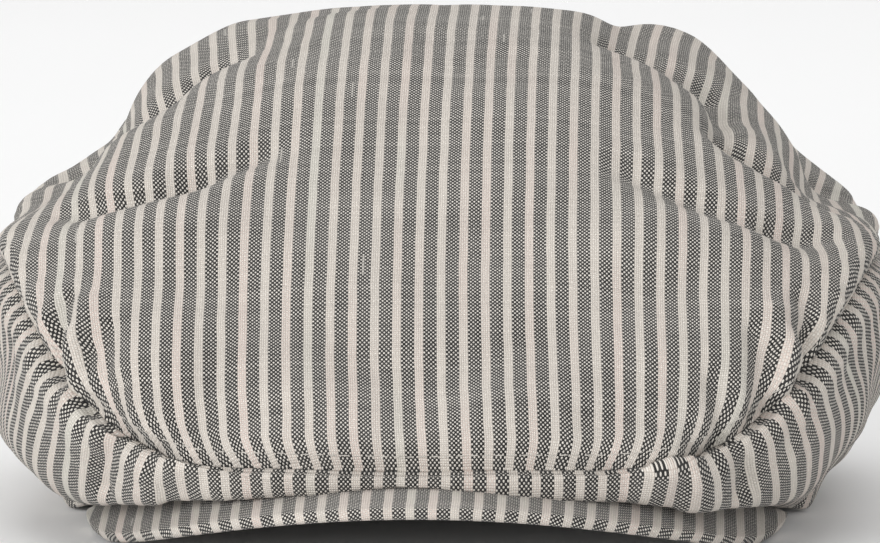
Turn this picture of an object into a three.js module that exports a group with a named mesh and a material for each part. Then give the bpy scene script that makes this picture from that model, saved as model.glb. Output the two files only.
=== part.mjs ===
// Flat cap of striped plain-weave cloth, standing on its hem and on the corners of its peak.
// Millimetres, +Z up, the peak towards -Y, the origin on the floor below the crown's axis.
// Three pieces: the top panel, the side band that runs round below it, and the stiff peak.

import * as THREE from 'three';

// Crown, measured from its upright axis
const FRONT_REACH = 120;
const BACK_REACH = 122;
const HALF_WIDTH = 111.5;
const CROWN_HEIGHT = 120;

// Cloth and sewing
const CLOTH = 1.8;
const SEAM_GAP = 0.3;
const PEAK_GAP = 1.0;

// Peak
const PEAK_LENGTH = 45.5;
const PEAK_HALF_WIDTH = 85.5;
const PEAK_END_ANGLE = 62;
const PEAK_SIDE_DEPTH = 97;
const PEAK_THICKNESS = 3;
const PEAK_FRONT_LIFT = 15.8;
const PEAK_LOW_ANGLE = 68;
const PEAK_ARCH_POWER = 1.4;

// Mesh density
const AROUND = 64;
const ROWS_PER_BAND_RING = 2;
const ROWS_PER_TOP_RING = 3;
const PEAK_ACROSS = 30;
const PEAK_ALONG = 6;

// Rings from the hem up to the apex. Reaches are shares of FRONT_REACH, HALF_WIDTH and BACK_REACH,
// heights are shares of CROWN_HEIGHT at the front, the side and the back. A ring keeps its front
// height up to the angle from, and has its side height from the angle to. square is the exponent
// of its superellipse, and dome is how far its height follows a plain cosine instead.
const RINGS = [
  { name: 'hem', front: 0.750, side: 0.797, back: 0.869, square: 2.1,
    low: 0.217, mid: 0.000, high: 0.000, from: 20, to: 84, dome: 0 },
  { name: 'tuck', front: 0.867, side: 0.819, back: 0.889, square: 2.15,
    low: 0.200, mid: 0.032, high: 0.035, from: 8, to: 76, dome: 0 },
  { name: 'roll', front: 0.962, side: 0.854, back: 0.918, square: 2.3,
    low: 0.184, mid: 0.072, high: 0.090, from: 0, to: 62, dome: 0 },
  { name: 'lip', front: 0.997, side: 0.907, back: 0.963, square: 2.5,
    low: 0.177, mid: 0.114, high: 0.165, from: 0, to: 46, dome: 0 },
  { name: 'bulge', front: 1.005, side: 0.973, back: 0.996, square: 2.6,
    low: 0.190, mid: 0.232, high: 0.280, from: 14, to: 62, dome: 0 },
  { name: 'cheek', front: 1.005, side: 1.000, back: 1.012, square: 2.6,
    low: 0.202, mid: 0.383, high: 0.435, from: 20, to: 66, dome: 0 },
  { name: 'seam', front: 0.998, side: 0.978, back: 1.004, square: 2.6,
    low: 0.213, mid: 0.533, high: 0.585, from: 24, to: 70, dome: 0 },
  { name: 'brow', front: 0.980, side: 0.954, back: 0.992, square: 2.6,
    low: 0.265, mid: 0.585, high: 0.670, from: 20, to: 72, dome: 0 },
  { name: 'slope', front: 0.925, side: 0.900, back: 0.951, square: 2.55,
    low: 0.340, mid: 0.638, high: 0.760, from: 12, to: 76, dome: 0 },
  { name: 'low_panel', front: 0.817, side: 0.816, back: 0.877, square: 2.45,
    low: 0.428, mid: 0.696, high: 0.842, from: 0, to: 82, dome: 0 },
  { name: 'mid_panel', front: 0.667, side: 0.717, back: 0.762, square: 2.3,
    low: 0.545, mid: 0.760, high: 0.917, from: 0, to: 88, dome: 0 },
  { name: 'high_panel', front: 0.475, side: 0.575, back: 0.607, square: 2.2,
    low: 0.685, mid: 0.835, high: 0.968, from: 0, to: 90, dome: 0.3 },
  { name: 'upper_panel', front: 0.283, side: 0.381, back: 0.418, square: 2.1,
    low: 0.815, mid: 0.900, high: 0.996, from: 0, to: 90, dome: 0.7 },
  { name: 'crest', front: 0.125, side: 0.177, back: 0.205, square: 2.0,
    low: 0.886, mid: 0.927, high: 0.982, from: 0, to: 90, dome: 1 },
  { name: 'apex', front: 0.000, side: 0.000, back: 0.000, square: 2.0,
    low: 0.930, mid: 0.930, high: 0.930, from: 0, to: 90, dome: 1 },
];
const SEAM_RING = 6;
const APEX_RING = RINGS.length - 1;
const WIDEST_BACK = 1.012;
const BACK_BLEND_ANGLE = 90;
const BACK_BLEND_TURN_ANGLE = 62;

// The crown's axis stands so that the whole cap is centred on the origin, front to back
const AXIS_Y = (FRONT_REACH * RINGS[0].front + PEAK_LENGTH - BACK_REACH * WIDEST_BACK) / 2;

// Soft folds of the crown, each a line from one place to another, given by the angle from the
// front (minus is the left side) and the ring number. rise is a share of FOLD_RISE, plus for a
// roll that stands out and minus for a crease; width is a share of FOLD_WIDTH.
const FOLD_RISE = 4;
const FOLD_WIDTH = 10;
const FOLDS = [
  { name: 'left_step', angle0: -112, ring0: 11.4, angle1: -97, ring1: 10.3, rise: -0.8, width: 0.7 },
  { name: 'left_step_foot', angle0: -97, ring0: 10.3, angle1: -112, ring1: 9.0, rise: -1.1, width: 0.9 },
  { name: 'left_dome', angle0: -132, ring0: 10.8, angle1: -125, ring1: 10.3, rise: 0.8, width: 1.3 },
  { name: 'left_crown', angle0: -140, ring0: 10.6, angle1: -156, ring1: 11.0, rise: 0.4, width: 1.4 },
  { name: 'left_top_dip', angle0: -150, ring0: 11.5, angle1: -138, ring1: 11.1, rise: -0.2, width: 1.3 },
  { name: 'left_roll_top', angle0: -44, ring0: 11.2, angle1: -52, ring1: 10.4, rise: -0.4, width: 0.6 },
  { name: 'left_roll', angle0: -52, ring0: 10.4, angle1: -62, ring1: 9.0, rise: -0.7, width: 0.6 },
  { name: 'left_swell', angle0: -40, ring0: 9.8, angle1: -58, ring1: 8.4, rise: 0.5, width: 1.2 },
  { name: 'left_shoulder', angle0: -84, ring0: 8.8, angle1: -110, ring1: 8.4, rise: -0.6, width: 1.1 },
  { name: 'left_shoulder_back', angle0: -112, ring0: 8.2, angle1: -126, ring1: 8.3, rise: -0.8, width: 1.1 },
  { name: 'left_corner', angle0: -104, ring0: 7.2, angle1: -114, ring1: 7.0, rise: 0.35, width: 1.0 },
  { name: 'left_underside', angle0: -54, ring0: 3.6, angle1: -80, ring1: 3.6, rise: 0.8, width: 1.1 },
  { name: 'right_underside', angle0: 60, ring0: 3.0, angle1: 78, ring1: 3.0, rise: -0.4, width: 0.7 },
  { name: 'right_notch', angle0: 150, ring0: 10.6, angle1: 122, ring1: 11.7, rise: -0.8, width: 0.8 },
  { name: 'right_notch_foot', angle0: 122, ring0: 11.7, angle1: 104, ring1: 11.1, rise: -0.7, width: 0.6 },
  { name: 'right_step', angle0: 107, ring0: 10.8, angle1: 76, ring1: 10.6, rise: -0.7, width: 0.6 },
  { name: 'right_step_foot', angle0: 73, ring0: 10.2, angle1: 77, ring1: 8.6, rise: -0.8, width: 0.7 },
  { name: 'right_dome', angle0: 142, ring0: 10.4, angle1: 136, ring1: 10.2, rise: 0.6, width: 0.9 },
  { name: 'right_shoulder', angle0: 86, ring0: 8.9, angle1: 108, ring1: 8.0, rise: -0.9, width: 1.0 },
  { name: 'right_shoulder_back', angle0: 108, ring0: 7.6, angle1: 123, ring1: 8.1, rise: -0.9, width: 1.2 },
  { name: 'right_roll', angle0: 44, ring0: 10.8, angle1: 59, ring1: 8.5, rise: -0.6, width: 0.6 },
  { name: 'right_swell', angle0: 38, ring0: 9.8, angle1: 54, ring1: 8.2, rise: 0.5, width: 1.2 },
  { name: 'back_crease', angle0: 162, ring0: 8.4, angle1: -165, ring1: 8.0, rise: -0.8, width: 1.1 },
  { name: 'back_left_roll', angle0: -138, ring0: 7.4, angle1: -150, ring1: 5.0, rise: 0.6, width: 1.2 },
  { name: 'back_right_crease', angle0: 128, ring0: 7.4, angle1: 142, ring1: 4.6, rise: -0.6, width: 0.9 },
];

const DEGREE = Math.PI / 180;

function smoothStep(value) {
  const t = Math.min(1, Math.max(0, value));
  return t * t * (3 - 2 * t);
}

// Catmull-Rom curve through one column of the ring table
function ringValue(column, ring) {
  const last = RINGS.length - 1;
  const i = Math.min(last - 1, Math.max(0, Math.floor(ring)));
  const f = ring - i;
  const p1 = RINGS[i][column];
  const p2 = RINGS[i + 1][column];
  const p0 = i > 0 ? RINGS[i - 1][column] : 2 * p1 - p2;
  const p3 = i < last - 1 ? RINGS[i + 2][column] : 2 * p2 - p1;
  const m1 = (p2 - p0) / 2;
  const m2 = (p3 - p1) / 2;
  const blend = f * f * (3 - 2 * f);
  return p1 + (p2 - p1) * blend + m1 * f * (1 - f) ** 2 - m2 * f * f * (1 - f);
}

// Smooth crown without folds: angle in degrees from the front, ring a ring number
function crownPoint(angle, ring) {
  const s = Math.sin(angle * DEGREE);
  const c = Math.cos(angle * DEGREE);
  const away = Math.abs(angle);
  const side = HALF_WIDTH * ringValue('side', ring);
  const end = c > 0 ? FRONT_REACH * ringValue('front', ring) : BACK_REACH * ringValue('back', ring);
  const n = ringValue('square', ring);
  const reach = side < 1e-6 ? 0 : ((Math.abs(s) / side) ** n + (Math.abs(c) / end) ** n) ** (-1 / n);
  const start = ringValue('from', ring);
  const frontStep = 1 - smoothStep((away - start) / (ringValue('to', ring) - start));
  const backStep = smoothStep((away - BACK_BLEND_ANGLE) / BACK_BLEND_TURN_ANGLE);
  const dome = ringValue('dome', ring);
  const frontPart = frontStep + (Math.max(0, c) - frontStep) * dome;
  const backPart = backStep + (Math.max(0, -c) - backStep) * dome;
  const mid = ringValue('mid', ring);
  const drop = (ringValue('low', ring) - mid) * frontPart;
  const lift = (ringValue('high', ring) - mid) * backPart;
  return new THREE.Vector3(reach * s, AXIS_Y - reach * c, CROWN_HEIGHT * (mid + drop + lift));
}

// Outward direction of the smooth crown, from differences wide enough to round the lip
function crownNormal(angle, ring) {
  if (ring >= APEX_RING) return new THREE.Vector3(0, 0, 1);
  const turn = 2;
  const climb = 0.45;
  const around = crownPoint(angle + turn, ring).sub(crownPoint(angle - turn, ring));
  const above = crownPoint(angle, Math.min(APEX_RING, ring + climb));
  const upward = above.sub(crownPoint(angle, Math.max(0, ring - climb)));
  return around.cross(upward).normalize();
}

// Each fold's line as a few points on the smooth crown
const FOLD_STEPS = 6;
const foldLines = FOLDS.map((fold) => {
  const line = [];
  for (let k = 0; k <= FOLD_STEPS; k += 1) {
    const t = k / FOLD_STEPS;
    const angle = fold.angle0 + (fold.angle1 - fold.angle0) * t;
    line.push(crownPoint(angle, fold.ring0 + (fold.ring1 - fold.ring0) * t));
  }
  return line;
});

function distanceToLine(point, line) {
  let nearest = Infinity;
  const spot = new THREE.Vector3();
  for (let k = 1; k < line.length; k += 1) {
    new THREE.Line3(line[k - 1], line[k]).closestPointToPoint(point, true, spot);
    nearest = Math.min(nearest, spot.distanceTo(point));
  }
  return nearest;
}

// How far the folds lift or sink the cloth at a point of the smooth crown
function foldRise(point) {
  let rise = 0;
  FOLDS.forEach((fold, k) => {
    const share = distanceToLine(point, foldLines[k]) / (FOLD_WIDTH * fold.width);
    rise += FOLD_RISE * fold.rise * Math.exp(-share * share);
  });
  return rise;
}

// Folded crown, depth millimetres inside its outer face. The hem's edge is pressed flat where
// the cap rests on it, at the sides and the back.
function clothPoint(angle, ring, depth) {
  const point = crownPoint(angle, ring);
  const floor = point.z;
  const rise = foldRise(point);
  point.addScaledVector(crownNormal(angle, ring), rise - depth);
  if (ring === 0 && Math.abs(angle) >= RINGS[0].to) point.z = floor;
  return point;
}

// Ring number that lies a distance above the seam, or below it where the distance is negative
function ringNearSeam(angle, distance) {
  const step = 0.05 * Math.sign(distance);
  const length = crownPoint(angle, SEAM_RING).distanceTo(crownPoint(angle, SEAM_RING + step));
  return SEAM_RING + step * Math.abs(distance) / length;
}

// Closed wall from two grids of points with equal rows. Columns run round and close on
// themselves where round is true; otherwise the two open sides are closed as the ends are.
function wallGeometry(outer, inner, round) {
  const rows = outer.length;
  const columns = outer[0].length;
  const positions = [];
  const faces = [];
  for (const grid of [outer, inner]) {
    for (const row of grid) {
      for (const point of row) positions.push(point.x, point.y, point.z);
    }
  }
  const at = (layer, i, j) => layer * rows * columns + i * columns + (j % columns);
  const quad = (a, b, c, d) => faces.push(a, b, c, a, c, d);
  const spans = round ? columns : columns - 1;
  for (let j = 0; j < spans; j += 1) {
    for (let i = 0; i < rows - 1; i += 1) {
      quad(at(0, i, j), at(0, i, j + 1), at(0, i + 1, j + 1), at(0, i + 1, j));
      quad(at(1, i, j), at(1, i + 1, j), at(1, i + 1, j + 1), at(1, i, j + 1));
    }
    quad(at(1, 0, j), at(1, 0, j + 1), at(0, 0, j + 1), at(0, 0, j));
    quad(at(0, rows - 1, j), at(0, rows - 1, j + 1), at(1, rows - 1, j + 1), at(1, rows - 1, j));
  }
  if (!round) {
    for (let i = 0; i < rows - 1; i += 1) {
      quad(at(0, i, 0), at(0, i + 1, 0), at(1, i + 1, 0), at(1, i, 0));
      quad(at(1, i, spans), at(1, i + 1, spans), at(0, i + 1, spans), at(0, i, spans));
    }
  }
  const geometry = new THREE.BufferGeometry();
  geometry.setAttribute('position', new THREE.Float32BufferAttribute(positions, 3));
  geometry.setIndex(dropFlat(faces, positions));
  geometry.computeVertexNormals();
  return geometry;
}

// Leaves out the faces that have no area because two of their corners are one point
function dropFlat(faces, positions) {
  const corner = (k) => new THREE.Vector3().fromArray(positions, 3 * k);
  const kept = [];
  for (let k = 0; k < faces.length; k += 3) {
    const [a, b, c] = faces.slice(k, k + 3);
    const shortest = Math.min(
      corner(a).distanceTo(corner(b)),
      corner(b).distanceTo(corner(c)),
      corner(c).distanceTo(corner(a)),
    );
    if (shortest > 1e-4) kept.push(a, b, c);
  }
  return kept;
}

// Part of the crown between two ring lines, as a wall of cloth
function crownWall(rows, ringAt) {
  const layer = (depth) => {
    const grid = [];
    for (let i = 0; i <= rows; i += 1) {
      const row = [];
      for (let j = 0; j < AROUND; j += 1) {
        const angle = -180 + (360 * j) / AROUND;
        row.push(clothPoint(angle, ringAt(angle, i / rows), depth));
      }
      grid.push(row);
    }
    return grid;
  };
  return wallGeometry(layer(0), layer(CLOTH), true);
}

function sideBand() {
  const rows = SEAM_RING * ROWS_PER_BAND_RING;
  return crownWall(rows, (angle, t) => ringNearSeam(angle, -SEAM_GAP / 2) * t);
}

function topPanel() {
  const rows = (APEX_RING - SEAM_RING) * ROWS_PER_TOP_RING;
  return crownWall(rows, (angle, t) => {
    const start = ringNearSeam(angle, SEAM_GAP / 2);
    return start + (APEX_RING - start) * t;
  });
}

// Upper face of the peak: across runs from -1 on the left to 1, along from 0 at the hem to 1
function peakPoint(across, along) {
  const root = crownPoint(across * PEAK_END_ANGLE, 0);
  root.z -= PEAK_GAP;
  const turn = across * 90;
  const sideLine = AXIS_Y - FRONT_REACH * RINGS[0].front - PEAK_LENGTH + PEAK_SIDE_DEPTH;
  const away = Math.min(1, Math.abs(turn) / PEAK_LOW_ANGLE);
  const arch = Math.cos(away * 90 * DEGREE) ** PEAK_ARCH_POWER;
  const edge = new THREE.Vector3(
    PEAK_HALF_WIDTH * Math.sin(turn * DEGREE),
    sideLine - PEAK_SIDE_DEPTH * Math.cos(turn * DEGREE),
    PEAK_THICKNESS + PEAK_FRONT_LIFT * arch,
  );
  return root.lerp(edge, along);
}

function peakNormal(across, along) {
  const step = 0.02;
  const left = peakPoint(Math.max(-1, across - step), along);
  const right = peakPoint(Math.min(1, across + step), along);
  const out = peakPoint(across, 1).sub(peakPoint(across, 0));
  return out.cross(right.sub(left)).normalize();
}

function peak() {
  const layer = (depth) => {
    const grid = [];
    for (let i = 0; i <= PEAK_ALONG; i += 1) {
      const row = [];
      for (let j = 0; j <= PEAK_ACROSS; j += 1) {
        const across = -1 + (2 * j) / PEAK_ACROSS;
        const along = 1 - i / PEAK_ALONG;
        row.push(peakPoint(across, along).addScaledVector(peakNormal(across, along), -depth));
      }
      grid.push(row);
    }
    return grid;
  };
  return wallGeometry(layer(0), layer(PEAK_THICKNESS), false);
}

function clothMesh(name, geometry, colour) {
  const material = new THREE.MeshStandardMaterial({ color: colour, roughness: 0.92, metalness: 0 });
  const mesh = new THREE.Mesh(geometry, material);
  mesh.name = name;
  return mesh;
}

const cap = new THREE.Group();
cap.add(clothMesh('top_panel', topPanel(), 0xa29c96));
cap.add(clothMesh('side_band', sideBand(), 0x9d9791));
cap.add(clothMesh('peak', peak(), 0x98928c));

export default cap;
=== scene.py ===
"""Flat cap of striped plain-weave cloth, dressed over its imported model.

Metres, +Z up, the peak towards -Y. The crown is one surface of two parameters: the angle in degrees
from the front (minus is the left side) and a ring number, from 0 at the hem over 6 at the seam to
14 at the apex. The side band, the top panel and the stitching are all places on it.
"""

import bmesh
import bpy
import numpy as np
from bpy.props import FloatProperty, FloatVectorProperty, PointerProperty
from mathutils import Matrix, Vector


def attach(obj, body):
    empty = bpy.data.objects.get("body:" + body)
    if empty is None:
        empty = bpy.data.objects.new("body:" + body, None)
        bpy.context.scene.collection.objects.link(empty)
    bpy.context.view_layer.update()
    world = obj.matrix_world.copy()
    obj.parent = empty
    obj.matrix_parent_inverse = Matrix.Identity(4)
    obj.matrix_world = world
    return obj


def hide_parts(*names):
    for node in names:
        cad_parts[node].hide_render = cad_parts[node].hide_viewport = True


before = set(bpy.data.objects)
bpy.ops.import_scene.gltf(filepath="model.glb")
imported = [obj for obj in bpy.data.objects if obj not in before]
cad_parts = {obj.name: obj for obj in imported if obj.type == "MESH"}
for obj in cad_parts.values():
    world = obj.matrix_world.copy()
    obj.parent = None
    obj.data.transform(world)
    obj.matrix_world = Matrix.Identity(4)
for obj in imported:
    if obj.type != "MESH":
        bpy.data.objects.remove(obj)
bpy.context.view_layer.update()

bl_info = {
    "name": "Striped Flat Cap",
    "version": (1, 0, 0),
    "blender": (4, 5, 0),
    "location": "3D View > Sidebar > Flat Cap",
    "description": "Makes a flat cap of striped plain-weave cloth, its sewing and a studio stage",
    "category": "Add Mesh",
}

MM = 0.001
SEED = 11

# Rings of the crown: reaches are shares of the front, side and back reach; low, mid and high are
# shares of the crown's height at the front, the side and the back. A ring keeps its front height
# up to the angle start and has its side height from the angle stop. square is the exponent of its
# superellipse, dome is how far its height follows a plain cosine instead.
RING_COLUMNS = ("front", "side", "back", "square", "low", "mid", "high", "start", "stop", "dome")
RINGS = {
    "hem": (0.750, 0.797, 0.869, 2.10, 0.217, 0.000, 0.000, 20, 84, 0),
    "tuck": (0.867, 0.819, 0.889, 2.15, 0.200, 0.032, 0.035, 8, 76, 0),
    "roll": (0.962, 0.854, 0.918, 2.30, 0.184, 0.072, 0.090, 0, 62, 0),
    "lip": (0.997, 0.907, 0.963, 2.50, 0.177, 0.114, 0.165, 0, 46, 0),
    "bulge": (1.005, 0.973, 0.996, 2.60, 0.190, 0.232, 0.280, 14, 62, 0),
    "cheek": (1.005, 1.000, 1.012, 2.60, 0.202, 0.383, 0.435, 20, 66, 0),
    "seam": (0.998, 0.978, 1.004, 2.60, 0.213, 0.533, 0.585, 24, 70, 0),
    "brow": (0.980, 0.954, 0.992, 2.60, 0.265, 0.585, 0.670, 20, 72, 0),
    "slope": (0.925, 0.900, 0.951, 2.55, 0.340, 0.638, 0.760, 12, 76, 0),
    "low_panel": (0.817, 0.816, 0.877, 2.45, 0.428, 0.696, 0.842, 0, 82, 0),
    "mid_panel": (0.667, 0.717, 0.762, 2.30, 0.545, 0.760, 0.917, 0, 88, 0),
    "high_panel": (0.475, 0.575, 0.607, 2.20, 0.685, 0.835, 0.968, 0, 90, 0.3),
    "upper_panel": (0.283, 0.381, 0.418, 2.10, 0.815, 0.900, 0.996, 0, 90, 0.7),
    "crest": (0.125, 0.177, 0.205, 2.00, 0.886, 0.927, 0.982, 0, 90, 1),
    "apex": (0.000, 0.000, 0.000, 2.00, 0.930, 0.930, 0.930, 0, 90, 1),
}
RING_TABLE = dict(zip(RING_COLUMNS, np.array(list(RINGS.values()), float).T))
SEAM_RING = 6
APEX_RING = len(RINGS) - 1
WIDEST_BACK = 1.012
BACK_BLEND_ANGLE = 90
BACK_BLEND_TURN = 62

# Soft folds: first angle and ring, last angle and ring, rise and width, as shares of the sizes
# fold_rise and fold_width. A plus rise is a roll that stands out, a minus one a crease.
FOLDS = {
    "left_step": (-112, 11.4, -97, 10.3, -0.8, 0.7),
    "left_step_foot": (-97, 10.3, -112, 9.0, -1.1, 0.9),
    "left_dome": (-132, 10.8, -125, 10.3, 0.8, 1.3),
    "left_crown": (-140, 10.6, -156, 11.0, 0.4, 1.4),
    "left_top_dip": (-150, 11.5, -138, 11.1, -0.2, 1.3),
    "left_roll_top": (-44, 11.2, -52, 10.4, -0.4, 0.6),
    "left_roll": (-52, 10.4, -62, 9.0, -0.7, 0.6),
    "left_swell": (-40, 9.8, -58, 8.4, 0.5, 1.2),
    "left_shoulder": (-84, 8.8, -110, 8.4, -0.6, 1.1),
    "left_shoulder_back": (-112, 8.2, -126, 8.3, -0.8, 1.1),
    "left_corner": (-104, 7.2, -114, 7.0, 0.35, 1.0),
    "left_underside": (-54, 3.6, -80, 3.6, 0.8, 1.1),
    "right_underside": (60, 3.0, 78, 3.0, -0.4, 0.7),
    "right_notch": (150, 10.6, 122, 11.7, -0.8, 0.8),
    "right_notch_foot": (122, 11.7, 104, 11.1, -0.7, 0.6),
    "right_step": (107, 10.8, 76, 10.6, -0.7, 0.6),
    "right_step_foot": (73, 10.2, 77, 8.6, -0.8, 0.7),
    "right_dome": (142, 10.4, 136, 10.2, 0.6, 0.9),
    "right_shoulder": (86, 8.9, 108, 8.0, -0.9, 1.0),
    "right_shoulder_back": (108, 7.6, 123, 8.1, -0.9, 1.2),
    "right_roll": (44, 10.8, 59, 8.5, -0.6, 0.6),
    "right_swell": (38, 9.8, 54, 8.2, 0.5, 1.2),
    "back_crease": (162, 8.4, -165, 8.0, -0.8, 1.1),
    "back_left_roll": (-138, 7.4, -150, 5.0, 0.6, 1.2),
    "back_right_crease": (128, 7.4, 142, 4.6, -0.6, 0.9),
}
FOLD_STEPS = 6

# Small creases and puckers that only the fine surface carries, in the same columns, as shares of
# crease_rise and crease_width
CREASES = {
    "left_step_edge": (-110, 11.2, -97, 10.4, -0.9, 1.0),
    "left_step_kink": (-96, 10.3, -92, 9.7, -0.8, 0.9),
    "left_roll_edge": (-46, 11.1, -58, 9.6, -0.8, 1.0),
    "left_roll_end": (-58, 9.6, -66, 8.6, -0.7, 1.1),
    "left_seam_wrinkle": (-49, 7.6, -45, 6.3, -1.0, 0.9),
    "left_seam_roll": (-46, 7.9, -42, 6.4, 0.8, 1.1),
    "left_corner_wrinkle": (-41, 7.8, -37, 6.3, -0.9, 0.9),
    "left_front_wrinkle": (-27, 8.5, -25, 6.9, -0.6, 1.2),
    "left_outer_pinch": (-48, 6.9, -46.5, 6.05, -1.1, 0.8),
    "left_inner_pinch": (-42, 7.2, -40, 6.1, -1.1, 0.8),
    "left_inner_roll": (-44.5, 7.2, -43, 6.1, 0.8, 0.8),
    "left_low_pinch": (-36.5, 7.1, -34.5, 6.1, -0.9, 0.8),
    "right_step_edge": (105, 10.7, 76, 10.6, -0.9, 1.0),
    "right_step_kink": (75, 10.4, 72, 9.8, -0.9, 1.0),
    "right_step_foot_edge": (74, 9.5, 76, 8.4, -0.8, 1.1),
    "right_roll_edge": (45, 10.7, 56, 9.1, -0.7, 1.0),
    "right_roll_end": (57, 9.0, 64, 8.0, -0.7, 1.1),
    "right_seam_wrinkle": (41, 7.8, 38, 6.3, -0.9, 0.9),
    "right_seam_roll": (45, 7.8, 42, 6.4, 0.7, 1.1),
    "right_corner_wrinkle": (50, 7.6, 47, 6.4, -0.9, 0.9),
    "right_front_wrinkle": (19, 7.3, 20, 6.2, -0.4, 1.1),
    "right_outer_pinch": (48, 6.9, 46, 6.05, -1.1, 0.8),
    "right_inner_pinch": (42, 7.2, 40, 6.1, -1.1, 0.8),
    "right_inner_roll": (44, 7.2, 42.5, 6.1, 0.8, 0.8),
    "right_low_pinch": (34, 7.4, 33, 6.1, -0.9, 0.8),
    "left_band_pinch": (-31, 5.9, -40, 3.2, -1.3, 1.0),
    "left_band_roll": (-26, 5.2, -33, 3.2, 0.8, 1.4),
    "right_band_pinch": (31, 5.9, 38, 3.2, -1.2, 1.0),
    "right_band_roll": (26, 5.2, 32, 3.2, 0.8, 1.4),
    "left_side_sag": (-58, 5.0, -82, 3.6, -0.7, 2.2),
    "right_side_sag": (56, 5.0, 80, 3.6, -0.7, 2.2),
    "right_hem_tuck": (66, 3.4, 72, 1.0, -1.3, 1.4),
    "left_hem_tuck": (-66, 3.2, -71, 1.0, -1.0, 1.3),
    "left_hem_roll": (-77, 0.8, -93, 0.9, 1.6, 2.2),
    "right_hem_roll": (78, 0.8, 93, 0.9, 0.9, 2.0),
}

# Grid sizes of the fine surfaces
AROUND = 480
PANEL_ROWS = 104
PANEL_INNER_ROWS = 30
BAND_ROWS = 66
BAND_INNER_ROWS = 26
PEAK_COLUMNS = 220
PEAK_ROWS = 46
EDGE_ROWS = 4
LATTICE_STEP = 1.25 * MM

# Peak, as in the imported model
PEAK_LENGTH = 45.5 * MM
PEAK_HALF_WIDTH = 85.5 * MM
PEAK_END_ANGLE = 62
PEAK_SIDE_DEPTH = 97 * MM
PEAK_FRONT_LIFT = 15.8 * MM
PEAK_LOW_ANGLE = 68
PEAK_ARCH_POWER = 1.4
PEAK_GAP = 1.0 * MM
SEAM_GAP = 0.3 * MM

# Stripes: threads of the cloth that one stripe period and its cream part take
THREADS_PER_STRIPE = 10
CREAM_THREADS = 4
PINK_TINT = (0.65, 0.55, 0.495, 1)
STONE_TINT = (0.605, 0.58, 0.515, 1)
CROWN_STRIPE_SHIFT = 1.30 * MM
PEAK_STRIPE_SHIFT = -1.36 * MM

# Grain of the side band: how far its stripes lean back, by the distance from the front centre, and
# how far they are drawn in again just below the seam at the front corners
LEAN_START = 50 * MM
LEAN_STOP = 125 * MM
LEAN_ANGLE = 19
SWAY = 3.4 * MM
SWAY_DEPTH = 5 * MM
SWAY_START = 60 * MM
SWAY_RISE = 50 * MM
SWAY_STOP = 190 * MM
SWAY_FALL = 80 * MM

# Grain of the top panel: how far its stripes drift aside on their way up from the seam, and how far
# the puckers beside the seam at the front corners shift them, as a share of their wavelength
GRAIN_DRIFT = 3.2 * MM
DRIFT_LENGTH = 38 * MM
PUCKER_SHIFT = 0.026
PUCKER_REACH = 10 * MM
EDGE_RING = 7
EDGE_SHARE = 0.8

# Unevenness of the soft cloth: wavelengths, and height as a share of the wavelength
SLACK_WAVES = (0.062, 0.047, 0.036, 0.028, 0.022, 0.017, 0.013)
SLACK_SHARE = 0.0042

# Seam: its groove, the puff beside it, the sunk line of the topstitching, and the puckers
SEAM_COLUMNS = 1441
GROOVE_DEPTH = 1.9 * MM
GROOVE_WIDTH = 1.6 * MM
PUFF_RISE = 0.9 * MM
PUFF_PLACE = 6 * MM
PUFF_WIDTH = 4 * MM
STITCH_PLACE = 2.3 * MM
STITCH_SINK = 0.36 * MM
STITCH_WIDTH = 0.8 * MM
STITCH_RADIUS = 0.16 * MM
PUCKER_WAVES = (0.0113, 0.0083, 0.0067, 0.0051)
PUCKER_RISE = 0.26 * MM
PUCKER_FADE = 8 * MM
PUCKER_START = 1.2 * MM
SHIFT_WAVES = (0.0195, 0.0128, 0.0087)
SHIFT_SLANT = 0.5
BACK_SEAM_DEPTH = 1.1 * MM
BACK_SEAM_WIDTH = 1.4 * MM

# Bulge of the wall's borders, as a share of half the cloth, and the distance of merged vertices
SEAM_BULGE = 0.3
HEM_BULGE = 0.8
MERGE = 0.00002

# Camera and stage
VIEW_ELEVATION = 7
VIEW_AZIMUTH = 2
VIEW_DISTANCE = 1500 * MM
PIXELS_PER_METRE = 4330
IMAGE_WIDTH = 880
IMAGE_HEIGHT = 543
SEAM_PIXEL = (424.5, 470)
SEAM_HEIGHT = 25.4 * MM
SEAM_REACH = 119.8 * MM
SENSOR_WIDTH = 36


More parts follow.
